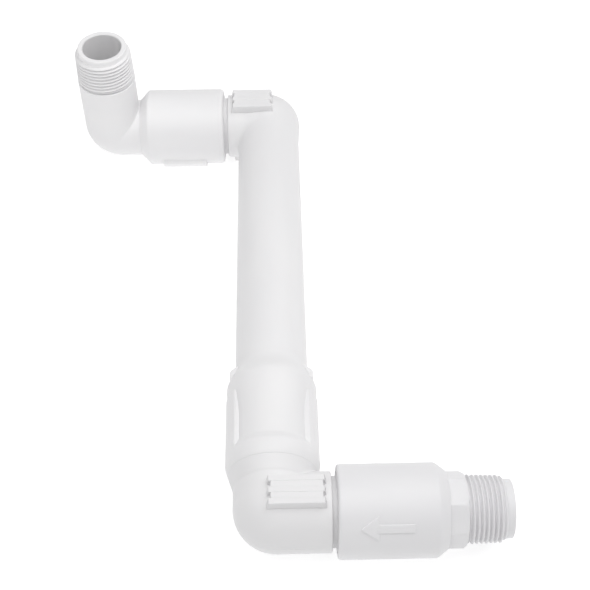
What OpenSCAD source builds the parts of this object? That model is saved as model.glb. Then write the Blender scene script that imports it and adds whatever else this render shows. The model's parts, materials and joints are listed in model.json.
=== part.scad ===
// Triple-swivel irrigation swing joint: four white mouldings and six O-rings.
// Millimetres. +X runs out of the inlet, +Y along the arm, +Z up the outlet leg.
// The origin is the centre of the inlet pipe end.

/* [Overall] */
// Centre of the base elbow to the centre of the top elbow (lay length)
lay_length = 218; // [120:0.5:500]
// Arm axis to the axis of the upright outlet leg
outlet_offset = 77.2; // [72:0.1:120]
// Outlet pipe end above the swivel axes
outlet_rise = 51.3; // [44:0.1:90]

// Waterway diameter of the elbows, spigots and pipe ends; the swivels and their walls follow it
way_d = 18.2; // [14:0.1:22]

/* [Elbow legs] */
// Outside diameter of the base elbow's legs
leg_d = way_d + 13.2;
// Outside diameter of the top elbow's leg
top_leg_d = way_d + 12.6;
// Base elbow centre to the shoulder of its inlet leg
base_leg = 22.5; // [18:0.1:40]
// Base elbow centre to the shoulder of its arm leg
base_up_leg = leg_d / 2 + 0.65;
// Top elbow centre to the shoulder of its leg
top_leg = 20; // [17:0.1:40]
// Diameter of the collar that the arm leg flares to below the arm's mouth
collar_d = leg_d + 4.4;
// Length of that flare
collar_len = 6; // [2:0.1:8]
// Centre-line radius of the two swivel elbows, small for a ball-shaped corner
elbow_bend = 1.2; // [0.6:0.1:6]
// Gap left between a side leg's shoulder and the socket it turns in
swivel_gap = 2; // [0.5:0.1:4]
// The same gap at the arm's own socket, which is screwed up close
arm_gap = 0.15; // [0.1:0.05:3]

/* [Sockets] */
// Outside diameter of the inlet and outlet sockets
socket_d = way_d + 18.5;
// Length of the inlet socket's cylinder
inlet_socket = 38.3; // [37:0.1:50]
// Length of the outlet socket's cylinder
outlet_socket = 37; // [36.5:0.1:45]
// Height of the conical shoulder behind each socket
shoulder = 4.1; // [2:0.1:6]
// Outside diameter of the arm's socket between its pads
arm_socket_d = way_d + 16.2;
// Outside diameter of the band round the arm's mouth, and of its pads
arm_band_d = way_d + 19.6;
// Length of that band
arm_band = 7.6; // [5:0.1:12]
// Length of the arm's socket, mouth to cone
arm_socket = 42; // [38:0.1:60]
// Length of the cone from the arm's socket to its tube
arm_cone = 6; // [4:0.1:20]

/* [Arm tube] */
// Outside diameter at the cone
arm_d = way_d + 12;
// Outside diameter at the top elbow, less for mould draft
arm_top_d = way_d + 11.2;
// Bore at the socket end
arm_bore = way_d + 3.2;
// Bore at the elbow end
arm_top_bore = way_d + 1.2;

/* [Swivel fit] */
// Bore of a socket's mouth
mouth_d = way_d + 11.8;
// Bore that the nose seals in
seal_d = way_d + 7.5;
// Radial running clearance of the two plain lands
run_fit = 0.05; // [0.02:0.01:0.1]
// Pitch diameter of the retaining ridges
ridge_d = way_d + 9.2;
// Pitch of the retaining ridges
ridge_pitch = 3.6; // [3:0.1:4.5]
// Retaining ridges on each piece
ridge_count = 4; // [2:1:4]
// Height of a ridge
ridge_h = 1.1; // [0.8:0.05:1.3]
// Clearance round the ridges
ridge_gap = 0.3; // [0.2:0.05:0.5]
// Section of the O-rings
ring_d = 2.4; // [1.8:0.05:2.6]
// Radial clearance outside an O-ring, and under it in its groove
ring_gap = 0.04; // [0.02:0.01:0.1]

/* [Pipe threads] */
// Threads per inch
tpi = 14; // [8:0.5:18]
// Pitch diameter at the small end
thread_e0 = 24.58; // [24:0.01:26]
// Height of a thread
thread_h = 1.36; // [1:0.01:1.45]
// Threaded length at the inlet
inlet_thread = 15.4; // [12:0.1:20]
// Threaded length at the outlet
outlet_thread = 16.4; // [12:0.1:20]
// Diameter of the plain nose in front of each thread
nose_d = 22.9; // [22:0.1:23]
// Length of the inlet's nose
inlet_nose = 2.7; // [1.5:0.1:5]
// Length of the outlet's nose
outlet_nose = 2; // [1.5:0.1:5]

/* [Wrench neck] */
// Across the flats of the eight-sided neck
neck_af = 27.5; // [27:0.1:34]
// Length of the neck
neck_len = 7.2; // [5:0.1:14]

/* [Outlet elbow] */
// Outside diameter of the outlet elbow
outlet_d = 27.2; // [26.8:0.1:32]
// Centre-line radius of the outlet elbow
outlet_bend = 4.6; // [1:0.1:8]

/* [Ribs and marks] */
// Height of the grip ribs above a leg
rib_h = 3; // [1:0.1:3.2]
// Height of the web between the ribs
web_h = 2.5; // [0.4:0.1:3]
// Width of a rib
rib_w = 2.6; // [2:0.1:5]
// Rib to rib
rib_step = 4.9; // [4:0.1:7]
// How far the ribs run past the elbow's centre
rib_past = 2.3; // [0:0.1:5]
// Bare leg left beyond the ribs
rib_bare = 2.2; // [1:0.1:6]
// Half width of the pads on the arm's socket
pad_half = 11.2; // [8:0.1:15]
// Length of the pads from the arm's mouth
pad_len = 33.5; // [20:0.1:40]
// Half width of the tabs that run over the cone
tab_half = 7; // [3:0.1:9]
// Height of the tabs' faces from the arm's axis
tab_r = arm_socket_d / 2 + 0.1;
// How far the tabs' flat faces run over the cone
tab_over = 4; // [3:0.1:12]
// Radius of the relief between a side leg's shoulder and its socket
relief_r = mouth_d / 2 - 0.7;
// Height of the raised flow arrow
mark_h = 0.45; // [0.2:0.05:1]
// Height of the raised plate on the outlet socket
plate_h = 1.5; // [0.8:0.1:2]

/* [Hidden] */
$fn = 96;
eps = 0.5;
edge = 0.8;

way_r = way_d / 2;
leg_r = leg_d / 2;
top_leg_r = top_leg_d / 2;
socket_r = socket_d / 2;
mouth_r = mouth_d / 2;
seal_r = seal_d / 2;
land_r = mouth_r - run_fit;
nose_land_r = seal_r - run_fit;

// stations along a swivel, from the mouth inwards
wiper_s = 3.8;
groove_w = ring_d + 0.8;
land_end = 6.5;
ridges_from = 7;
first_ridge = 9.6;
ridges_to = first_ridge + ridge_count * ridge_pitch + 0.5;
seal_s = ridges_to + 5.1;
nose_end = seal_s + 4.4;
stop_s = nose_end + 1;

// ridge profile, a stub form with 29 degree flanks
ridge_slope = tan(14.5);
ridge_half = ridge_pitch / 4 - ridge_gap / 2;
spigot_root = ridge_d / 2 - (ridge_h + ridge_gap) / 2;
spigot_crest = spigot_root + ridge_h;
socket_crest = spigot_root + ridge_gap;
socket_root = socket_crest + ridge_h;
root_half = ridge_half + ridge_slope * (ridge_h + ridge_gap) / 2;
crest_half = ridge_half - ridge_slope * (ridge_h - ridge_gap) / 2;

// O-ring grooves, cut below each land so that the ring just clears its bore
wiper_groove = mouth_r - 2 * ring_gap - ring_d;
seal_groove = seal_r - 2 * ring_gap - ring_d;

// pipe threads
thread_pitch = 25.4 / tpi;
thread_root = (thread_e0 - thread_h) / 2;
thread_taper = 1 / 32;
turn_steps = 48;

// places
inlet_mouth = base_leg + swivel_gap;
inlet_end = inlet_mouth + inlet_socket + shoulder + neck_len + inlet_thread + inlet_nose;
arm_mouth = base_up_leg + arm_gap;
outlet_mouth = top_leg + swivel_gap;
outlet_run = outlet_offset - outlet_mouth;
neck_corner = neck_af / 2 / cos(22.5);
thread_base_z = outlet_rise - outlet_nose - outlet_thread;

pvc_white = [0.93, 0.93, 0.94];
rubber_black = [0.08, 0.08, 0.08];

module at_inlet() translate([inlet_mouth, 0, 0]) rotate([0, 90, 0]) children();
module at_base() translate([0, arm_mouth, 0]) rotate([-90, 0, 0]) children();
module at_outlet() translate([-outlet_mouth, lay_length, 0]) rotate([0, -90, 0]) children();
module at_top() translate([0, lay_length, 0]) rotate([0, 0, 180]) children();
module at_leg() translate([-outlet_offset, lay_length, 0]) rotate([90, 0, 0]) children();
module to_frame() translate([-inlet_end, 0, 0]) children();

// one raised ridge as outline points: root, crest, crest, root
function ridge(c, root, crest) =
    [[root, c - root_half], [crest, c - crest_half], [crest, c + crest_half], [root, c + root_half]];
function spigot_ridges() =
    [for (i = [0:ridge_count - 1]) for (p = ridge(first_ridge + i * ridge_pitch, spigot_root, spigot_crest)) p];
function socket_ridges() =
    [for (i = [0:ridge_count - 1])
        for (p = ridge(first_ridge + (i + 0.5) * ridge_pitch, socket_root, socket_crest)) p];

// leg and spigot in one turned outline: back is where the leg starts, gap its shoulder's distance
// from the mouth, and collar the radius that the leg flares to at the shoulder
module spigot(r, back, gap, collar) {
    flare = max(collar - r, 0);
    outline = concat(
        [[0, -back], [r, -back]],
        flare > 0 ? [[r, -gap - collar_len], [r + flare * 0.2, -gap - collar_len * 0.92],
                     [r + flare, -gap], [land_r, -gap]]
                  : [[r, -gap - edge], [r - edge * 0.6, -gap], [relief_r, -gap], [relief_r, -0.2],
                     [land_r, -0.2]],
        [
         [land_r, wiper_s - groove_w / 2], [wiper_groove, wiper_s - groove_w / 2],
         [wiper_groove, wiper_s + groove_w / 2], [land_r, wiper_s + groove_w / 2],
         [land_r, land_end - 0.4], [land_r - 0.4, land_end], [spigot_root, land_end]],
        spigot_ridges(),
        [[spigot_root, ridges_to - 0.6], [nose_land_r, ridges_to],
         [nose_land_r, seal_s - groove_w / 2], [seal_groove, seal_s - groove_w / 2],
         [seal_groove, seal_s + groove_w / 2], [nose_land_r, seal_s + groove_w / 2],
         [nose_land_r, nose_end - edge], [nose_land_r - edge, nose_end], [0, nose_end]]);
    rotate_extrude() polygon(outline);
}

// what a socket is hollowed out by, mouth to stop, then the waterway on to far
module socket_void(far, r = way_r) {
    outline = concat(
        [[0, -eps], [mouth_r + edge + eps, -eps], [mouth_r, edge], [mouth_r, ridges_from],
         [socket_root, ridges_from]],
        socket_ridges(),
        [[socket_root, ridges_to + 0.5], [seal_r, ridges_to + 0.5 + socket_root - seal_r],
         [seal_r, stop_s], [r, stop_s], [r, far], [0, far]]);
    rotate_extrude() polygon(outline);
}

module ring(bore_r, s) {
    translate([0, 0, s])
        rotate_extrude() translate([bore_r - ring_gap - ring_d / 2, 0]) circle(d = ring_d, $fn = 48);
}

// quarter bend between a leg along +X and one along +Y, ending face to face with both
module bend(r, centre_r) {
    translate([centre_r, centre_r, 0]) rotate([0, 0, 180])
        rotate_extrude(angle = 90)
            intersection() {
                translate([centre_r, 0]) circle(r);
                translate([0, -r - eps]) square([centre_r + r + eps, 2 * (r + eps)]);
            }
}

// waterway of an elbow whose legs reach to a along +X and to b along +Y
module elbow_way(a, b, centre_r) {
    bend(way_r, centre_r);
    translate([centre_r, 0, 0]) rotate([0, 90, 0]) cylinder(r = way_r, h = a - centre_r);
    translate([0, centre_r, 0]) rotate([-90, 0, 0]) cylinder(r = way_r, h = b - centre_r);
}

// grip ribs above and below a leg that runs along +X
module grip_ribs(r, leg) {
    span = leg - rib_bare + rib_past;
    translate([-rib_past, 0, 0]) {
        for (y = [-rib_step, 0, rib_step])
            translate([0, y - rib_w / 2, -r - rib_h]) cube([span, rib_w, 2 * (r + rib_h)]);
        translate([0.6, -rib_step, -r - web_h]) cube([span - 1.2, 2 * rib_step, 2 * (r + web_h)]);
    }
}

// right-hand taper thread with its core; z = 0 at the small end, fading out at both ends
function thread_z(j, k, len) = (floor(k / 4) + [0.05, 0.44, 0.56, 0.95][k % 4] + j / turn_steps) * thread_pitch
    - 2 * thread_pitch;
function thread_fade(z, len) = max(0, min(1, z / thread_pitch, (len - z) / (0.6 * thread_pitch)));
function thread_r(k, z, len) = thread_root + z * thread_taper
    + (k % 4 == 1 || k % 4 == 2 ? thread_h * thread_fade(z, len) : 0);
// index of a vertex: one shared ring at each end, one point of its own in between
function thread_index(j, k, len, rows) =
    j == turn_steps ? thread_index(0, k + 4, len, rows) :
    thread_z(j, k, len) <= 0.05 ? j :
    thread_z(j, k, len) >= len - 0.05 ? turn_steps + j :
    2 * turn_steps + k * turn_steps + j;
module pipe_thread(len) {
    rows = 4 * (ceil(len / thread_pitch) + 3);
    points = concat(
        [for (j = [0:turn_steps - 1]) let (a = 360 * j / turn_steps)
            [thread_root * cos(a), thread_root * sin(a), 0]],
        [for (j = [0:turn_steps - 1]) let (a = 360 * j / turn_steps, r = thread_root + len * thread_taper)
            [r * cos(a), r * sin(a), len]],
        [for (k = [0:rows - 1]) for (j = [0:turn_steps - 1])
            let (a = 360 * j / turn_steps, z = thread_z(j, k, len), r = thread_r(k, z, len))
            [r * cos(a), r * sin(a), z]]);
    faces = concat(
        [[for (j = [0:turn_steps - 1]) j]],
        [[for (j = [turn_steps - 1:-1:0]) turn_steps + j]],
        [for (k = [0:rows - 6]) for (j = [0:turn_steps - 1])
            let (a = thread_index(j, k, len, rows), b = thread_index(j + 1, k, len, rows),
                 c = thread_index(j + 1, k + 1, len, rows), d = thread_index(j, k + 1, len, rows))
            for (f = [[a, c, b], [a, d, c]])
                if (f[0] != f[1] && f[1] != f[2] && f[0] != f[2]) f]);
    polyhedron(points, faces, convexity = 8);
}

// flow arrow lying in the XY plane, pointing along +X, centred on its own origin
module arrow(length, width) {
    polygon([[-length / 2, -width / 6], [length / 6, -width / 6], [length / 6, -width / 2],
             [length / 2, 0], [length / 6, width / 2], [length / 6, width / 6], [-length / 2, width / 6]]);
}

// outside of a socket from its mouth to the top of its conical shoulder
module socket_body(r, len, end_r, round_by) {
    rotate_extrude()
        polygon([[0, 0], [r - round_by, 0], [r - round_by * 0.29, round_by * 0.29], [r, round_by],
                 [r, len], [end_r, len + shoulder], [0, len + shoulder]]);
}

module inlet_adapter() {
    thread_s = inlet_socket + shoulder + neck_len;
    color(pvc_white) to_frame() at_inlet() difference() {
        union() {
            socket_body(socket_r, inlet_socket, neck_corner + 0.35, 1.4);
            intersection() {
                rotate([0, 0, 22.5]) translate([0, 0, inlet_socket])
                    linear_extrude(shoulder + neck_len) circle(neck_corner, $fn = 8);
                rotate_extrude()
                    polygon([[0, 0], [neck_corner + eps, 0], [neck_corner + eps, thread_s - 0.9],
                             [neck_corner - 1, thread_s], [0, thread_s]]);
            }
            translate([0, 0, thread_s + inlet_thread]) rotate([180, 0, 0]) pipe_thread(inlet_thread);
            translate([0, 0, thread_s + inlet_thread])
                rotate_extrude()
                    polygon([[0, 0], [nose_d / 2, 0], [nose_d / 2, inlet_nose - 0.5],
                             [nose_d / 2 - 0.5, inlet_nose], [0, inlet_nose]]);
            intersection() {
                cylinder(r = socket_r + mark_h, h = inlet_socket);
                rotate([0, 0, 50]) translate([0, 0, inlet_socket * 0.48]) rotate([0, -90, 0])
                    linear_extrude(socket_r + eps) rotate([0, 0, 180]) arrow(20, 10);
            }
        }
        socket_void(thread_s + inlet_thread + inlet_nose + eps);
    }
}

module base_elbow() {
    color(pvc_white) to_frame() difference() {
        union() {
            bend(leg_r, elbow_bend);
            at_inlet() spigot(leg_r, inlet_mouth - elbow_bend, swivel_gap, leg_r);
            at_base() spigot(leg_r, arm_mouth - elbow_bend, arm_gap, collar_d / 2);
            grip_ribs(leg_r, base_leg);
        }
        elbow_way(inlet_mouth + nose_end + eps, arm_mouth + nose_end + eps, elbow_bend);
    }
}

module swing_arm() {
    body_r = arm_socket_d / 2;
    band_r = arm_band_d / 2;
    tube_from = arm_socket + arm_cone;
    tube_to = lay_length - arm_mouth - elbow_bend;
    color(pvc_white) to_frame() difference() {
        union() {
            at_base() rotate_extrude()
                polygon([[0, 0], [band_r - 0.95, 0], [band_r - 0.25, 2.2],
                         [band_r, 3.4], [band_r, arm_band - 0.8], [body_r, arm_band + 2.4],
                         [body_r, pad_len - 9], [band_r - 0.5, pad_len + 1.5], [band_r - 0.2, pad_len + 4],
                         [band_r - 0.2, arm_socket - 1.2],
                         [arm_d / 2, tube_from], [arm_top_d / 2, tube_to],
                         [0, tube_to]]);
            at_base() intersection() {
                translate([0, 0, arm_band - 1]) cylinder(r = band_r, h = pad_len + 0.5 - arm_band + 1);
                translate([-band_r, -pad_half, 0]) cube([2 * band_r, 2 * pad_half, tube_from]);
            }
            at_base() translate([0, tab_half, 0]) rotate([90, 0, 0]) linear_extrude(2 * tab_half)
                polygon([[-tab_r, arm_socket - 1], [tab_r, arm_socket - 1], [tab_r, arm_socket + tab_over],
                         [arm_d / 2 - 1, arm_socket + tab_over + 2.5], [1 - arm_d / 2, arm_socket + tab_over + 2.5],
                         [-tab_r, arm_socket + tab_over]]);
            at_top() bend(top_leg_r, elbow_bend);
            at_outlet() spigot(top_leg_r, outlet_mouth - elbow_bend, swivel_gap, top_leg_r);
            at_top() grip_ribs(top_leg_r, top_leg);
        }
        at_base() socket_void(stop_s + 4, arm_bore / 2);
        at_base() translate([0, 0, stop_s])
            cylinder(r1 = arm_bore / 2, r2 = arm_top_bore / 2, h = tube_to - way_r - stop_s);
        at_top() elbow_way(outlet_mouth + nose_end + eps, way_r + elbow_bend + 1.5, elbow_bend);
    }
}

module outlet_elbow() {
    leg_to = thread_base_z;
    color(pvc_white) to_frame() difference() {
        union() {
            at_outlet() socket_body(socket_r, outlet_socket, outlet_d / 2 + 0.3, 2);
            at_outlet() cylinder(d = outlet_d, h = outlet_run - outlet_bend);
            at_leg() bend(outlet_d / 2, outlet_bend);
            at_leg() translate([0, outlet_bend, 0]) rotate([-90, 0, 0])
                cylinder(d = outlet_d, h = leg_to - outlet_bend);
            at_leg() translate([0, outlet_rise - outlet_nose, 0]) rotate([90, 0, 0]) pipe_thread(outlet_thread);
            at_leg() translate([0, outlet_rise - outlet_nose, 0]) rotate([-90, 0, 0])
                rotate_extrude()
                    polygon([[0, 0], [nose_d / 2, 0], [nose_d / 2, outlet_nose - 0.5],
                             [nose_d / 2 - 0.5, outlet_nose], [0, outlet_nose]]);
            at_outlet() intersection() {
                translate([0, 0, outlet_socket * 0.25]) cylinder(r = socket_r + plate_h, h = 21.4);
                rotate([0, 0, 45]) translate([-socket_r - plate_h, -7.5, 0]) cube([socket_r, 15, outlet_socket]);
            }
        }
        at_outlet() socket_void(stop_s + 4);
        at_leg() elbow_way(outlet_run - stop_s, outlet_rise + eps, outlet_bend);
    }
}

module inlet_wiper_ring() color(rubber_black) to_frame() at_inlet() ring(mouth_r, wiper_s);
module inlet_seal_ring() color(rubber_black) to_frame() at_inlet() ring(seal_r, seal_s);
module base_wiper_ring() color(rubber_black) to_frame() at_base() ring(mouth_r, wiper_s);
module base_seal_ring() color(rubber_black) to_frame() at_base() ring(seal_r, seal_s);
module outlet_wiper_ring() color(rubber_black) to_frame() at_outlet() ring(mouth_r, wiper_s);
module outlet_seal_ring() color(rubber_black) to_frame() at_outlet() ring(seal_r, seal_s);

inlet_adapter();
inlet_wiper_ring();
inlet_seal_ring();
base_elbow();
base_wiper_ring();
base_seal_ring();
swing_arm();
outlet_wiper_ring();
outlet_seal_ring();
outlet_elbow();
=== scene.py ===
import json
import math

import bmesh
import bpy
import numpy as np
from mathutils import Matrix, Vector


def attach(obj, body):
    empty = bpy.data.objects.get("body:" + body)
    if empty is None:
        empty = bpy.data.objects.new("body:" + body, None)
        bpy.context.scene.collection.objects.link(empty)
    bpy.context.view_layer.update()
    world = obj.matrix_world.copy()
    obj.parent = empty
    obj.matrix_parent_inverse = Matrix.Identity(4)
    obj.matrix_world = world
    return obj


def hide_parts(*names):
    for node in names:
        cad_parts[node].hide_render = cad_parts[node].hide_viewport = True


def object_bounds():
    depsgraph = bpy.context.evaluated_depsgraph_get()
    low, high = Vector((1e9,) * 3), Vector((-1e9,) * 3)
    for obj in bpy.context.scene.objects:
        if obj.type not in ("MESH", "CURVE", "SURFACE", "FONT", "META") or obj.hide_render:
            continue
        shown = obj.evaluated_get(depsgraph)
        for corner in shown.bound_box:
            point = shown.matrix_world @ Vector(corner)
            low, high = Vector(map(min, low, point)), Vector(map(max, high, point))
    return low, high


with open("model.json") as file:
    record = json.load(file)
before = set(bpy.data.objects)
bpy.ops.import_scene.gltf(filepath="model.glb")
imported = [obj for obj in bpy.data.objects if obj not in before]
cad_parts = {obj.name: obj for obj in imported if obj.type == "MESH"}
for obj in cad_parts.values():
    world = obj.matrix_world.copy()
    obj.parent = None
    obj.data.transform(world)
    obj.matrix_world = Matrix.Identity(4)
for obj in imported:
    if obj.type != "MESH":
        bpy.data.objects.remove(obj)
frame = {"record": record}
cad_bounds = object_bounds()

# ---------------------------------------------------------------------------
# Inlet adapter: the socket that turns on the base elbow, with an eight-sided
# wrench neck and a 3/4 in taper pipe thread. One injection moulding in white
# PVC, screwed into the lateral pipe's tee; everything else hangs from it.

MM = 0.001
X, Y, Z = np.eye(3)

# directions round every turned surface, with two close pairs for the mould's parting line
seam_h = 0.07
seam_half_angle = 0.008
beside_seams = [a + d for a in (2 * math.pi, math.pi) for d in (-seam_half_angle, seam_half_angle)]
ROUND = np.sort(np.concatenate([np.arange(160) * math.pi / 80, beside_seams]) % (2 * math.pi))
STEPS = len(ROUND)
SEAM = np.isclose(np.sin(ROUND), 0, atol=1e-6) * seam_h

way_r = 9.1                       # waterway of the whole joint
mouth_r = 15.0                    # plain mouth of every socket
mouth_chamfer = 0.8
seal_r = 12.85                    # bore that the nose seals in
thread_pitch = 25.4 / 14
thread_h = 1.36
thread_root = (24.58 - thread_h) / 2
thread_taper = 1 / 32
nose_r = 11.45                    # plain nose in front of each pipe thread

# stations along a swivel, from its mouth inwards, and the radii of its ridges
wiper_s = 3.8
land_end = 6.5
ridges_from = 7.0
ridge_pitch = 3.6
first_ridge = 9.6
ridges_to = first_ridge + 4 * ridge_pitch + 0.5
seal_s = ridges_to + 5.1
nose_end = seal_s + 4.4
stop_s = nose_end + 1
socket_root, socket_crest = 14.4, 13.3
spigot_root, spigot_crest = 13.0, 14.1

joint_at = {j["name"]: np.array(j["pos_m"]) / MM for j in frame["record"]["behaviour"]["joints"]}
mount_at = {m["name"]: np.array(m["pos_m"]) / MM for m in frame["record"]["mounts"]}
inlet_mouth = joint_at["inlet_swivel"]
arm_mouth = joint_at["base_swivel"]
outlet_mouth = joint_at["outlet_swivel"]
pipe_end = mount_at["outlet_bore"]
base_centre = np.array([arm_mouth[0], 0.0, 0.0])
top_centre = np.array([arm_mouth[0], outlet_mouth[1], 0.0])
leg_foot = np.array([pipe_end[0], pipe_end[1], 0.0])


def turned(outline, start, along, u, v, seam=False):
    """Rings of a turned outline given as (radius, distance) pairs along an axis from its start.
    A seam adds the mould's fine parting line on two sides."""
    rings = []
    for r, s in outline:
        radius = np.broadcast_to(np.asarray(r, float), (STEPS,)) + (SEAM if seam else 0)
        rings.append(start + along * s
                     + radius[:, None] * (np.cos(ROUND)[:, None] * u + np.sin(ROUND)[:, None] * v))
    return rings


def eased(outline, corners, steps=5):
    """The outline with an arc of the given size at each numbered corner."""
    out = []
    for i, (r, s) in enumerate(outline):
        if i not in corners:
            out.append((r, s))
            continue
        here = np.array([r, s], float)
        back = np.array(outline[i - 1], float) - here
        on = np.array(outline[i + 1], float) - here
        back, back_len = back / np.linalg.norm(back), np.linalg.norm(back)
        on, on_len = on / np.linalg.norm(on), np.linalg.norm(on)
        size = corners[i]
        if back_len > size * 1.4:
            out.append(tuple(here + back * size * 1.3))
        for k in range(steps + 1):
            t = k / steps
            p = here + ((1 - t) ** 2 * back + t * t * on) * size
            out.append((p[0], p[1]))
        if on_len > size * 1.4:
            out.append(tuple(here + on * size * 1.3))
    return out


def ridges(root, crest, offset):
    """Retaining ridges that hold a spigot in its socket and let it turn."""
    foot_half, crest_half = 0.93, 0.65
    out = []
    for i in range(4):
        c = first_ridge + (i + offset) * ridge_pitch
        out += [(root, c - foot_half), (crest, c - crest_half)]
        out += [(crest, c + crest_half), (root, c + foot_half)]
    return out


def socket_bore():
    """Inside of a socket from its mouth to the stop: wiper land, ridges, seal bore."""
    cone_from = ridges_to + 0.5
    return ([(mouth_r + mouth_chamfer, 0.0), (mouth_r, mouth_chamfer), (mouth_r, ridges_from),
             (socket_root, ridges_from)]
            + ridges(socket_root, socket_crest, 0.5)
            + [(socket_root, cone_from), (seal_r, cone_from + socket_root - seal_r), (seal_r, stop_s)])


def thread_and_nose(length, nose):
    """Right-hand taper thread and plain nose, from the body to the pipe end and into the waterway."""
    rings_per_turn = 22
    rows = []
    count = int(length / thread_pitch * rings_per_turn)
    for i in range(count + 1):
        s = length * i / count
        to_end = length - s
        fade = min(1.0, to_end / thread_pitch, s / (0.6 * thread_pitch))
        phase = (s / thread_pitch - ROUND / (2 * math.pi)) % 1.0
        flank = np.clip((1 - np.abs(phase * 2 - 1) - 0.06) / 0.76, 0, 1)
        rise = 0.5 * flank + 0.25 * (1 - np.cos(flank * math.pi))
        rows.append((thread_root + to_end * thread_taper + thread_h * fade * rise, s))
    tip = eased([(nose_r, length), (nose_r, length + nose), (way_r, length + nose)], {1: 0.5}, 4)
    return rows + tip[:-1] + [(way_r + 0.35, length + nose), (way_r, length + nose - 0.4)]


def skin(name, rings):
    """One closed moulding from rings that run out along its outside and back along its waterway."""
    k = np.arange(len(rings))[:, None] * STEPS
    on = (np.arange(1, len(rings) + 1) % len(rings))[:, None] * STEPS
    j = np.arange(STEPS)[None, :]
    nxt = (j + 1) % STEPS
    quads = np.stack([k + j, k + nxt, on + nxt, on + j], axis=-1).reshape(-1, 4)
    mesh = bpy.data.meshes.new(name)
    mesh.from_pydata((np.concatenate(rings) * MM).tolist(), [], quads.tolist())
    piece = bpy.data.objects.new(name, mesh)
    bpy.context.scene.collection.objects.link(piece)
    work = bmesh.new()
    work.from_mesh(mesh)
    bmesh.ops.remove_doubles(work, verts=work.verts, dist=1e-6)
    bmesh.ops.recalc_face_normals(work, faces=work.faces)
    work.to_mesh(mesh)
    work.free()
    return piece


def bar(length, width, top, foot, ease, tip=None, slope=0.0):
    """A raised rib, pad or mark: a bar along its own X with eased edges, whose top height is top(y).
    With a tip it narrows to that half width at its far end. A slope leans its two end faces back."""
    (u0, u1), (v0, v1) = length, width
    mid, half = (v0 + v1) / 2, (v1 - v0) / 2
    across = 8
    on = 1 if u1 > u0 else -1
    # the near end's sections, each a place along the bar, a half width and a drop from the top
    if slope:
        near = [(u0, half, 3.2), (u0 + slope * 0.8, half, 0.7), (u0 + slope, half, 0.25),
                (u0 + slope * 1.35, half, 0.0)]
    else:
        near = [(u0, half - ease, ease), (u0 + on * ease * 0.3, half - ease * 0.3, ease * 0.3),
                (u0 + on * ease, half, 0.0)]
    ends = near + [(u0 + u1 - u, h, drop) for u, h, drop in reversed(near)]
    if tip is not None:
        ends = near + [(u0 + (u1 - u0) * k / 6, half + (tip - half) * k / 6, 0.0) for k in range(1, 7)]
    rings = []
    for u, h, drop in ends:
        e = min(ease, h * 0.5)
        ring = [(u, mid - h, foot), (u, mid - h, top(mid - h) - drop - e),
                (u, mid - h + e * 0.3, top(mid - h) - drop - e * 0.3)]
        for k in range(across + 1):
            y = (h - e) * (2 * k / across - 1)
            ring.append((u, mid + y, top(mid + y) - drop))
        ring += [(u, mid + h - e * 0.3, top(mid + h) - drop - e * 0.3),
                 (u, mid + h, top(mid + h) - drop - e), (u, mid + h, foot)]
        rings.append(ring)
    n, last = len(rings[0]), len(rings) - 1
    faces = [list(range(n)), [last * n + i for i in reversed(range(n))]]
    for a in range(last):
        here, there = a * n, (a + 1) * n
        faces += [[here + i, here + (i + 1) % n, there + (i + 1) % n, there + i] for i in range(n)]
    return [p for ring in rings for p in ring], faces


def drum(r):
    """Height of a round surface of radius r at a distance y from its middle."""
    return lambda y: math.sqrt(max(r * r - y * y, 0.01))


def flat(height):
    """The same height at every distance from the middle."""
    return lambda y: height


def moulded_on(piece, bars):
    """Fuses bars into the moulding. Each is (points, faces, origin, its own X, its own Y)."""
    fused = []
    for points, faces, origin, x_axis, y_axis in bars:
        z_axis = np.cross(x_axis, y_axis)
        laid = [(origin + p[0] * x_axis + p[1] * y_axis + p[2] * z_axis) * MM for p in points]
        mesh = bpy.data.meshes.new("bar")
        mesh.from_pydata([tuple(p) for p in laid], [], faces)
        work = bmesh.new()
        work.from_mesh(mesh)
        bmesh.ops.recalc_face_normals(work, faces=work.faces)
        work.to_mesh(mesh)
        work.free()
        block = bpy.data.objects.new("bar", mesh)
        bpy.context.scene.collection.objects.link(block)
        fuse = piece.modifiers.new("fuse", "BOOLEAN")
        fuse.operation = "UNION"
        fuse.solver = "MANIFOLD"
        fuse.object = block
        fused.append(block)
    bpy.context.view_layer.update()
    settled = bpy.data.meshes.new_from_object(piece.evaluated_get(bpy.context.evaluated_depsgraph_get()))
    piece.modifiers.clear()
    piece.data = settled
    for block in fused:
        bpy.data.objects.remove(block)


def finished(piece, material, body, node):
    """Smooth skin with its real edges kept crisp, its material, and its place on the frame."""
    crisp_from = math.radians(32)
    for face in piece.data.polygons:
        face.use_smooth = True
    piece.data.set_sharp_from_angle(angle=crisp_from)
    piece.data.materials.clear()
    piece.data.materials.append(material)
    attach(piece, body)
    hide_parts(node)


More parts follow.
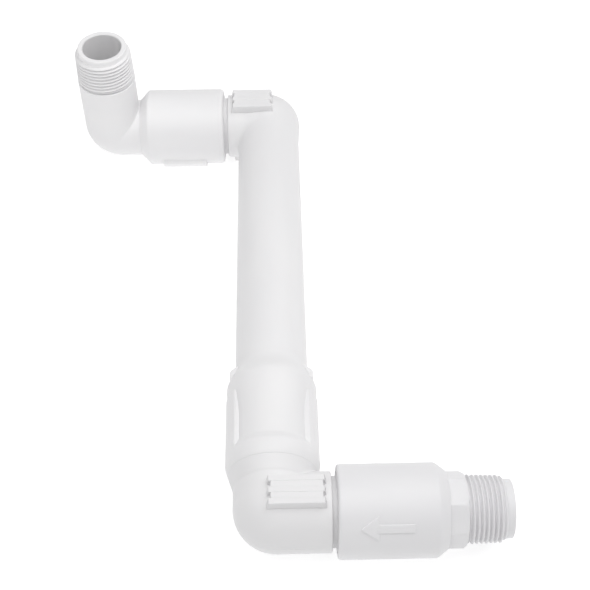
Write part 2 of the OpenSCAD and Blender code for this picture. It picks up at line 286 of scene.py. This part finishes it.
def white_pvc(name, tone, seed, along):
    """Moulded white PVC: flow marks drawn out along the melt's path, a fine skin, varied shine."""
    rough = 0.5
    mat = bpy.data.materials.new(name)
    mat.use_nodes = True
    nodes, links = mat.node_tree.nodes, mat.node_tree.links
    shader = nodes["Principled BSDF"]
    where = nodes.new("ShaderNodeTexCoord")

    def noise(scale, detail, stretch):
        spread = nodes.new("ShaderNodeMapping")
        spread.inputs["Location"].default_value = (seed, seed * 0.7, seed * 1.3)
        spread.inputs["Scale"].default_value = [1 - (1 - stretch) * abs(a) for a in along]
        links.new(where.outputs["Object"], spread.inputs["Vector"])
        n = nodes.new("ShaderNodeTexNoise")
        n.inputs["Scale"].default_value = scale
        n.inputs["Detail"].default_value = detail
        links.new(spread.outputs["Vector"], n.inputs["Vector"])
        return n

    flow = noise(55, 4, 0.3)
    skin_wave = noise(210, 3, 0.6)
    grain = noise(2400, 2, 1.0)
    shade = nodes.new("ShaderNodeValToRGB")
    shade.color_ramp.elements[0].position = 0.30
    shade.color_ramp.elements[0].color = (tone[0] * 0.962, tone[1] * 0.962, tone[2] * 0.968, 1)
    shade.color_ramp.elements[1].position = 0.70
    shade.color_ramp.elements[1].color = (*tone, 1)
    links.new(flow.outputs["Fac"], shade.inputs["Fac"])
    links.new(shade.outputs["Color"], shader.inputs["Base Color"])
    shine = nodes.new("ShaderNodeMapRange")
    shine.inputs["To Min"].default_value = rough - 0.06
    shine.inputs["To Max"].default_value = rough + 0.07
    links.new(skin_wave.outputs["Fac"], shine.inputs["Value"])
    links.new(shine.outputs["Result"], shader.inputs["Roughness"])
    heights = nodes.new("ShaderNodeMix")
    heights.data_type = "FLOAT"
    heights.inputs["Factor"].default_value = 0.3
    links.new(skin_wave.outputs["Fac"], heights.inputs["A"])
    links.new(grain.outputs["Fac"], heights.inputs["B"])
    bump = nodes.new("ShaderNodeBump")
    bump.inputs["Strength"].default_value = 0.12
    bump.inputs["Distance"].default_value = 0.0004
    links.new(heights.outputs["Result"], bump.inputs["Height"])
    links.new(bump.outputs["Normal"], shader.inputs["Normal"])
    shader.inputs["IOR"].default_value = 1.53
    shader.inputs["Subsurface Weight"].default_value = 0.05
    shader.inputs["Subsurface Radius"].default_value = (1.0, 0.95, 0.9)
    shader.inputs["Subsurface Scale"].default_value = 0.001
    return mat


socket_r = 18.35
inlet_socket = 38.3
shoulder = 4.1
neck_len = 7.2
neck_flat = 13.75
neck_corner = neck_flat / math.cos(math.pi / 8)
neck_from = inlet_socket + shoulder
thread_from = neck_from + neck_len
inlet_thread = 15.4
inlet_nose = 2.7

# eight flats, turned off round where the shoulder and the end chamfer cut their corners
facet = (ROUND + math.pi / 8) % (math.pi / 4) - math.pi / 8
flats = neck_flat / np.cos(facet)
outside = eased([(mouth_r + mouth_chamfer, 0), (socket_r, 0), (socket_r, inlet_socket),
                 (neck_corner + 0.35, neck_from), (neck_corner, neck_from)], {1: 1.5, 2: 0.8})[1:-1]
outside += [(flats, neck_from + 0.05), (flats, thread_from - 1.2),
            (np.minimum(flats, neck_corner - 0.4), thread_from - 0.7),
            (np.minimum(flats, neck_corner - 1.0), thread_from),
            (thread_root + inlet_thread * thread_taper + 0.3, thread_from)]
outside += [(r, s + thread_from) for r, s in thread_and_nose(inlet_thread, inlet_nose)]
inside = [(way_r, stop_s + 12), (way_r, stop_s)] + socket_bore()[::-1]
adapter = skin("inlet_adapter_moulding",
               turned(outside, inlet_mouth, X, -Z, Y) + turned(inside, inlet_mouth, X, -Z, Y))

# a plain raised flow arrow, pointing from the pipe into the joint
lean = math.radians(50)
arrow_h = 0.45
arrow_ease = 0.12
arrow_foot = socket_r - 1.5
tail_end, shaft_end, shaft_half = 28.4, 14.0, 1.67
head_from, head_tip, head_half = 15.05, 8.4, 5.0
face_out = np.array([0, -math.sin(lean), math.cos(lean)])
arrow_top = drum(socket_r + arrow_h)
arrow = [bar((tail_end, shaft_end), (-shaft_half, shaft_half), arrow_top, arrow_foot, arrow_ease),
         bar((head_from, head_tip), (-head_half, head_half), arrow_top, arrow_foot, arrow_ease, tip=0.15)]
moulded_on(adapter, [(*mark, inlet_mouth, X, np.cross(face_out, X)) for mark in arrow])
finished(adapter, white_pvc("inlet_adapter_pvc", (0.785, 0.78, 0.79), 3.1, X), "inlet", "inlet_adapter")

# ---------------------------------------------------------------------------
# Base elbow: a tight right-angle elbow with a swivel spigot on each leg, one
# in the inlet adapter and one in the arm. White PVC, moulded in one piece with
# the grip ribs above and below its inlet leg.

leg_r = 15.7
base_leg = 22.5                   # the elbow's centre to the shoulder of its inlet leg
swivel_gap = 2.0
corner_bend = 1.2
relief_r = 13.8
run_fit = 0.05
ring_r = 1.2
ring_gap = 0.04
rib_h = 3.0
rib_half = 1.3
rib_step = 4.9
rib_past, rib_bare = 2.3, 2.2     # how far ribs run past the centre, and the bare leg beyond them
web_h = 2.8
web_past, web_bare = 1.3, 2.9
collar_from, collar_crease, collar_end = 10.1, 10.9, 16.2
collar_r = 17.85


def spigot(lead):
    """A spigot from its shoulder, given as the lead's rings, to its nose and just into the waterway."""
    land = mouth_r - run_fit
    nose = seal_r - run_fit
    half = ring_r + 0.4                           # half of an O-ring groove's width
    deep = 2 * (ring_gap + ring_r)                # from a bore down to its groove
    nose_edge = eased([(nose, seal_s + half), (nose, nose_end), (way_r + 0.4, nose_end)], {1: 0.8})
    return (lead + [(land, lead[-1][1]), (land, wiper_s - half), (mouth_r - deep, wiper_s - half),
                    (mouth_r - deep, wiper_s + half), (land, wiper_s + half), (land, land_end - 0.4),
                    (land - 0.4, land_end), (spigot_root, land_end)]
            + ridges(spigot_root, spigot_crest, 0)
            + [(spigot_root, ridges_to - 0.6), (nose, ridges_to), (nose, seal_s - half),
               (seal_r - deep, seal_s - half), (seal_r - deep, seal_s + half)]
            + nose_edge + [(way_r, nose_end - 0.4)])


def side_shoulder(r, from_s):
    """Leg, eased shoulder and relief of a spigot that stands a swivel gap away from its socket."""
    return eased([(r, from_s), (r, -swivel_gap), (relief_r, -swivel_gap)], {1: 0.7}) + [(relief_r, -0.2)]


def elbow(centre, leg_a, leg_b, side, pivot, outer_a, outer_b, corner_r, bend, fillet, count=96, seam=False):
    """Rings round a right-angle corner, from a plane across leg a to a plane across leg b.
    Every ring's plane passes through the pivot, which is just outside the inner corner. outer_a and
    outer_b give each leg's radius at a distance from the centre, and bend is the centre line's."""
    far = 99.0                                    # stands for a surface that a ray doesn't meet
    rings = []
    for i in range(count + 1):
        angle = math.pi / 2 * i / count
        inward = math.sin(angle) * leg_a + math.cos(angle) * leg_b
        reach = pivot[1] * math.cos(angle) ** 2 + pivot[0] * math.sin(angle) ** 2
        start = pivot[0] * leg_a + pivot[1] * leg_b - reach * inward
        ray = np.cos(ROUND)[:, None] * inward + np.sin(ROUND)[:, None] * side
        low, high = np.zeros(STEPS), np.full(STEPS, 40.0)
        for _ in range(30):
            mid = (low + high) / 2
            p = start + ray * mid[:, None]
            a, b, h = p @ leg_a, p @ leg_b, p @ side
            from_a = np.where(a >= bend, np.hypot(b, h) - outer_a(a), far)
            from_b = np.where(b >= bend, np.hypot(a, h) - outer_b(b), far)
            turn = np.hypot(np.hypot(a - bend, b - bend) - bend, h) - corner_r
            from_turn = np.where((a < bend) & (b < bend), turn, far)
            inner = fillet * np.clip((np.minimum(a, b) - bend) / 6, 0, 1) + 1e-3
            blend = np.maximum(inner - np.abs(from_a - from_b), 0)
            depth = np.minimum(np.minimum(from_a, from_b) - blend ** 2 / inner / 4, from_turn)
            low = np.where(depth < 0, mid, low)
            high = np.where(depth < 0, high, mid)
        out = (low + high) / 2 + (SEAM if seam else 0)
        rings.append(centre + start + ray * out[:, None])
    return rings


def plain(r):
    """A leg of the same radius all along."""
    return lambda t: r


def grip(centre, along, out, r, leg):
    """Three grip ribs on a low web, on one side of a leg."""
    across = np.cross(out, along)
    foot = r - 5
    rib_run = (-rib_past, leg - rib_bare)
    web_run = (-web_past, leg - web_bare)
    blocks = [bar(rib_run, (y - rib_half, y + rib_half), flat(r + rib_h), foot, 0.3, slope=0.6)
              for y in (-rib_step, 0, rib_step)]
    blocks.append(bar(web_run, (-rib_step, rib_step), flat(r + web_h), foot, 0.1, slope=0.5))
    return [(*block, centre, along, across) for block in blocks]


def collar(t):
    """Outside of the arm leg, which flares to a collar below the arm's mouth."""
    return np.interp(t, [collar_from, collar_crease, collar_end], [leg_r, leg_r + 0.45, collar_r])


base_pivot = (18.3, 16.15)
inlet_spigot = spigot(side_shoulder(leg_r, base_pivot[0] - inlet_mouth[0] + base_centre[0]))
arm_spigot = spigot([(collar_r, -0.06), (collar_r - 0.03, -0.03)])
way = [(way_r, nose_end - 12)]
moulding = skin("base_elbow_moulding",
                turned(inlet_spigot, inlet_mouth, X, Y, Z)[::-1]
                + elbow(base_centre, X, Y, Z, base_pivot, plain(leg_r), collar, leg_r, corner_bend, 0.8,
                        seam=True)
                + turned(arm_spigot + way, arm_mouth, Y, X, Z)
                + elbow(base_centre, X, Y, Z, base_pivot, plain(way_r), plain(way_r), way_r, corner_bend,
                        1.0, 40)[::-1]
                + turned(way, inlet_mouth, X, Y, Z))
moulded_on(moulding, grip(base_centre, X, Z, leg_r, base_leg) + grip(base_centre, X, -Z, leg_r, base_leg))
finished(moulding, white_pvc("base_elbow_pvc", (0.785, 0.78, 0.785), 8.7, X), "base", "base_elbow")

# ---------------------------------------------------------------------------
# Swing arm: a drafted tube between a padded socket that turns on the base
# elbow and a right-angle elbow with a spigot for the outlet. White PVC, one
# moulding, with grip pads on the socket's sides and ribs on the top leg.

top_leg_r = 15.4
top_leg = 20.0
band_r = 18.9
band = 7.6
body_r = 17.2
cuff_r = 18.7
arm_socket = 42.0
cone_end = arm_socket + 6.0
tube_r = 15.1
tube_top_r = 14.7
pad_len, pad_half = 33.5, 11.2
tab_half, tab_h = 7, 17.3
tab_end = arm_socket + 6.5
pad_foot = 9
tube_end = (top_centre - arm_mouth)[1] - corner_bend


def tube(t):
    """Outside of the arm below the top elbow's centre: the corner's round eases into the drafted tube."""
    drafted = tube_top_r + (tube_r - tube_top_r) * (t - corner_bend) / (tube_end - cone_end)
    ease_len = 13
    ease = np.clip((t - corner_bend) / ease_len, 0, 1)
    return top_leg_r + (drafted - top_leg_r) * ease * ease * (3 - 2 * ease)


top_pivot = (18.3, 18.3)
to_elbow = tube_end + corner_bend - top_pivot[1]
outside = [(band_r - 1.05, 0), (band_r - 1.02, 0.04)]
outside += eased([(band_r - 0.9, 0.25), (band_r, 3.2), (band_r, band - 0.8), (body_r, band + 2.4),
                  (body_r, pad_len - 9), (cuff_r - 0.3, pad_len + 1.5), (cuff_r, arm_socket - 1.2),
                  (tube_r, cone_end), (float(tube(top_pivot[1])), to_elbow)],
                 {1: 1.2, 2: 1.0, 3: 1.0, 4: 4.0, 5: 2.5, 6: 1.5, 7: 3.0})
outlet_spigot = spigot(side_shoulder(top_leg_r, top_pivot[0] - top_leg - swivel_gap))
bore_end = tube_end - way_r
bore = [(10.7, stop_s), (9.7, bore_end), (way_r, bore_end), (way_r, bore_end + 1)]
arm = skin("swing_arm_moulding",
           turned(outlet_spigot, outlet_mouth, -X, -Y, Z)[::-1]
           + elbow(top_centre, -X, -Y, Z, top_pivot, plain(top_leg_r), tube, top_leg_r, corner_bend, 3.0,
                   seam=True)
           + turned(outside, arm_mouth, Y, -X, Z, seam=True)[::-1]
           + turned(socket_bore() + bore, arm_mouth, Y, -X, Z)
           + elbow(top_centre, -X, -Y, Z, (9.6, 9.6), plain(way_r), plain(way_r), way_r, corner_bend,
                   0.3, 40)[::-1]
           + turned(way, outlet_mouth, -X, -Y, Z))
pads = []
for out in (X, -X):
    sides = [bar((band - 2.2, pad_len + 0.5), (-pad_half, pad_half), drum(band_r), pad_foot, 0.3),
             bar((arm_socket - 2, tab_end), (-tab_half, tab_half), flat(tab_h), pad_foot, 0.3, slope=2.4)]
    pads += [(*side, arm_mouth, Y, np.cross(out, Y)) for side in sides]
top_ribs = grip(top_centre, -X, Z, top_leg_r, top_leg) + grip(top_centre, -X, -Z, top_leg_r, top_leg)
moulded_on(arm, pads + top_ribs)
# the arm's tone sits a little lighter than the base elbow's: partly its own shade, partly painted light for
# the brighter light over the arm
finished(arm, white_pvc("swing_arm_pvc", (0.81, 0.805, 0.81), 5.3, Y), "arm", "swing_arm")

# ---------------------------------------------------------------------------
# Outlet elbow: a socket that turns on the arm, a wider-swept elbow and an
# upright leg with a 3/4 in taper pipe thread for the sprinkler. White PVC, one
# moulding, with a plain raised plate low on its front.

elbow_r = 13.6
elbow_bend = 4.6
outlet_socket = 37.0
outlet_thread = 16.4
outlet_nose = 2.0
run = (outlet_mouth - leg_foot)[0]
thread_z = pipe_end[2] - outlet_nose - outlet_thread
outlet_pivot = (14.05, 14.05)
plate_from, plate_to, plate_half, plate_h = 9.25, 30.65, 7.5, 1.5
outside = eased([(mouth_r + mouth_chamfer, 0), (socket_r, 0), (socket_r, outlet_socket),
                 (elbow_r + 0.3, outlet_socket + shoulder), (elbow_r + 0.1, outlet_socket + shoulder + 0.02)],
                {1: 2.0, 2: 0.8})[1:]
upright = [(elbow_r, outlet_pivot[1])]
upright += eased([(elbow_r, 20), (elbow_r, thread_z), (12.2, thread_z)], {1: 0.4})
upright += [(r, s + thread_z) for r, s in thread_and_nose(outlet_thread, outlet_nose)]
outlet = skin("outlet_elbow_moulding",
              turned(outside, outlet_mouth, -X, Z, Y)
              + elbow(leg_foot, X, Z, Y, outlet_pivot, plain(elbow_r), plain(elbow_r), elbow_r, elbow_bend,
                      0.5, seam=True)
              + turned(upright, leg_foot, Z, X, Y)
              + elbow(leg_foot, X, Z, Y, (13, 13), plain(way_r), plain(way_r), way_r, elbow_bend,
                      0.5, 40)[::-1]
              + turned([(way_r, run - 14), (way_r, stop_s)] + socket_bore()[::-1], outlet_mouth, -X, Z, Y))
front = np.array([0, -1, -1]) / math.sqrt(2)
plate = bar((plate_from, plate_to), (-plate_half, plate_half), drum(socket_r + plate_h), 12, 0.4)
moulded_on(outlet, [(*plate, outlet_mouth, -X, np.cross(front, -X))])
# the outlet elbow's tone is set lighter than the other mouldings: partly its own shade, partly painted light
# standing in for the brighter light on the outlet end
finished(outlet, white_pvc("outlet_elbow_pvc", (0.84, 0.835, 0.84), 12.9, X), "outlet", "outlet_elbow")

# ---------------------------------------------------------------------------
# O-rings: a wiper ring at each mouth and a seal ring at each nose. Black
# nitrile rubber, moulded, sprung into the grooves of the three spigots.

section_points = 28


def rubber():
    """Nitrile rubber with a faint bloom and a fine moulded texture."""
    mat = bpy.data.materials.new("ring_rubber")
    mat.use_nodes = True
    nodes, links = mat.node_tree.nodes, mat.node_tree.links
    shader = nodes["Principled BSDF"]
    where = nodes.new("ShaderNodeTexCoord")
    bloom = nodes.new("ShaderNodeTexNoise")
    bloom.inputs["Scale"].default_value = 320
    bloom.inputs["Detail"].default_value = 5
    links.new(where.outputs["Object"], bloom.inputs["Vector"])
    shade = nodes.new("ShaderNodeValToRGB")
    shade.color_ramp.elements[0].color = (0.010, 0.010, 0.011, 1)
    shade.color_ramp.elements[1].color = (0.045, 0.045, 0.047, 1)
    links.new(bloom.outputs["Fac"], shade.inputs["Fac"])
    links.new(shade.outputs["Color"], shader.inputs["Base Color"])
    grain = nodes.new("ShaderNodeBump")
    grain.inputs["Strength"].default_value = 0.3
    grain.inputs["Distance"].default_value = 0.0002
    links.new(bloom.outputs["Fac"], grain.inputs["Height"])
    links.new(grain.outputs["Normal"], shader.inputs["Normal"])
    shader.inputs["Roughness"].default_value = 0.48
    return mat


ring_rubber = rubber()
section = np.arange(section_points) * 2 * math.pi / section_points
swivels = [("inlet", "base", inlet_mouth, X, Y, Z), ("base", "base", arm_mouth, Y, X, Z),
           ("outlet", "arm", outlet_mouth, -X, -Y, Z)]
for place, body, mouth, along, u, v in swivels:
    for kind, bore_r, station in (("wiper", mouth_r, wiper_s), ("seal", seal_r, seal_s)):
        centre_r = bore_r - ring_gap - ring_r
        outline = [(centre_r + ring_r * math.cos(a), station + ring_r * math.sin(a)) for a in section]
        node = f"{place}_{kind}_ring"
        ring = skin(node + "_rubber", turned(outline, mouth, along, u, v))
        for face in ring.data.polygons:
            face.use_smooth = True
        ring.data.materials.append(ring_rubber)
        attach(ring, body)
        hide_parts(node)

# ---------------------------------------------------------------------------
# Floor, soft studio light and camera. A wide white sweep lit from all round,
# with a broad lamp high on the right and a smaller one over the arm.

floor_z = cad_bounds[0][2]
reach = 4                         # half the floor's side, in metres
sweep = bpy.data.meshes.new("floor")
corners = [(reach * x, reach * y, floor_z) for x, y in ((-1, -1), (1, -1), (1, 1), (-1, 1))]
sweep.from_pydata(corners, [], [(0, 1, 2, 3)])
floor = bpy.data.objects.new("floor", sweep)
bpy.context.scene.collection.objects.link(floor)
paper = bpy.data.materials.new("white_paper")
paper.use_nodes = True
paper_shader = paper.node_tree.nodes["Principled BSDF"]
paper_shader.inputs["Base Color"].default_value = (0.55, 0.55, 0.55, 1)
paper_shader.inputs["Roughness"].default_value = 0.8
paper_shader.inputs["Specular IOR Level"].default_value = 0.1
paper_shader.inputs["Emission Color"].default_value = (1, 1, 1, 1)
paper_shader.inputs["Emission Strength"].default_value = 0.64
sweep.materials.append(paper)

world = bpy.data.worlds.new("studio")
bpy.context.scene.world = world
world.use_nodes = True
world.node_tree.nodes["Background"].inputs["Color"].default_value = (1, 1, 1, 1)
world.node_tree.nodes["Background"].inputs["Strength"].default_value = 0.44


def lamp(name, where, aim, size, power):
    """A broad square lamp that points at a place on the object."""
    light = bpy.data.lights.new(name, "AREA")
    light.shape = "SQUARE"
    light.size = size
    light.energy = power
    obj = bpy.data.objects.new(name, light)
    obj.location = where
    obj.rotation_euler = (Vector(aim) - Vector(where)).to_track_quat("-Z", "Y").to_euler()
    bpy.context.scene.collection.objects.link(obj)


lamp("key", (0.4, 0.25, 1.0), (-0.09, 0.11, 0), 0.9, 5.0)
lamp("fill", (-0.2, -0.02, 0.55), (-0.15, 0.2, 0), 0.45, 1.3)

camera_at = Vector((-0.08875, -0.22278, 0.41057))
camera_aim = Vector((-0.08173, 0.09102, 0.02135))
camera_data = bpy.data.cameras.new("camera")
camera_data.lens = 72.4
camera_data.sensor_width = 36
camera = bpy.data.objects.new("camera", camera_data)
camera.location = camera_at
camera.rotation_euler = (camera_aim - camera_at).to_track_quat("-Z", "Y").to_euler()
bpy.context.scene.collection.objects.link(camera)
bpy.context.scene.camera = camera
bpy.context.scene.view_settings.view_transform = "Standard"
